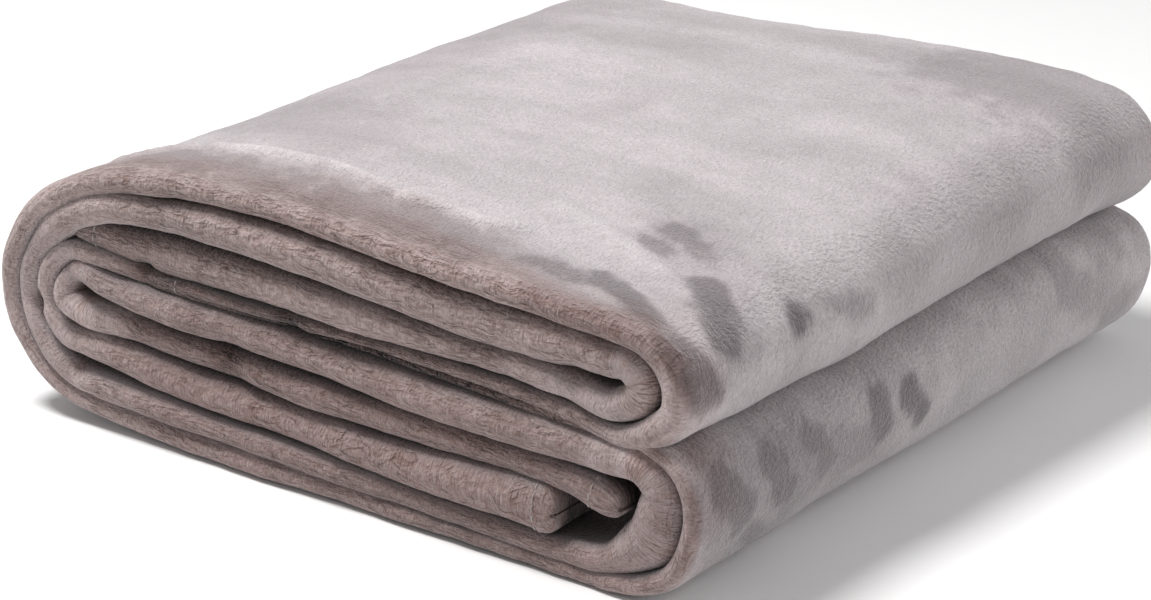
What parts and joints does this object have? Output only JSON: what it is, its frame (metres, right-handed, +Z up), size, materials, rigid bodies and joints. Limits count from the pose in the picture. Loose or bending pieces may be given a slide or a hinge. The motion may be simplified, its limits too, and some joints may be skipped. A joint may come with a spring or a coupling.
{
  "type": "folded throw blanket",
  "caption": "Plush throw blanket folded into a thick square stack, with its layer folds showing along the front; the upper half opens on the spine fold.",
  "frame": {"origin": "under the middle of the folded stack, on the surface it lies on", "axes": "+Z up, +X from the spine fold to the rolled end, -Y towards the side where the layer folds show"},
  "size_m": [0.3357, 0.3298, 0.1117],
  "materials": {
    "plush_fleece": "soft brushed pile with a low sheen",
    "hem_thread": "matte twisted thread"
  },
  "bodies": {
    "lower_half": {"bottom_outer_layer": "plush_fleece", "bottom_inner_layer": "plush_fleece", "lower_roll_outer": "plush_fleece", "lower_roll_inner": "plush_fleece", "lower_flap_outer": "plush_fleece", "lower_flap_inner": "plush_fleece", "inner_turn_outer": "plush_fleece", "inner_turn_inner": "plush_fleece", "tail_outer": "plush_fleece", "tail_inner": "plush_fleece", "tail_end_hem": "hem_thread", "bottom_back_fold": "plush_fleece", "lower_flap_back_fold": "plush_fleece", "tail_back_fold": "plush_fleece", "spine_outer_bend": "plush_fleece", "spine_inner_bend": "plush_fleece"},
    "upper_half": {"top_outer_layer": "plush_fleece", "top_inner_layer": "plush_fleece", "upper_roll_outer": "plush_fleece", "upper_roll_inner": "plush_fleece", "upper_flap_outer": "plush_fleece", "upper_flap_inner": "plush_fleece", "flap_end_hem": "hem_thread", "top_back_fold": "plush_fleece", "upper_flap_back_fold": "plush_fleece"}
  },
  "joints": [
    {"name": "spine_fold", "type": "hinge", "parent": "lower_half", "child": "upper_half", "pos_m": [-0.168, 0, 0.056], "axis": [0, -1, 0], "range_deg": [0, 175], "deforming": ["spine_outer_bend", "spine_inner_bend"]}
  ]
}
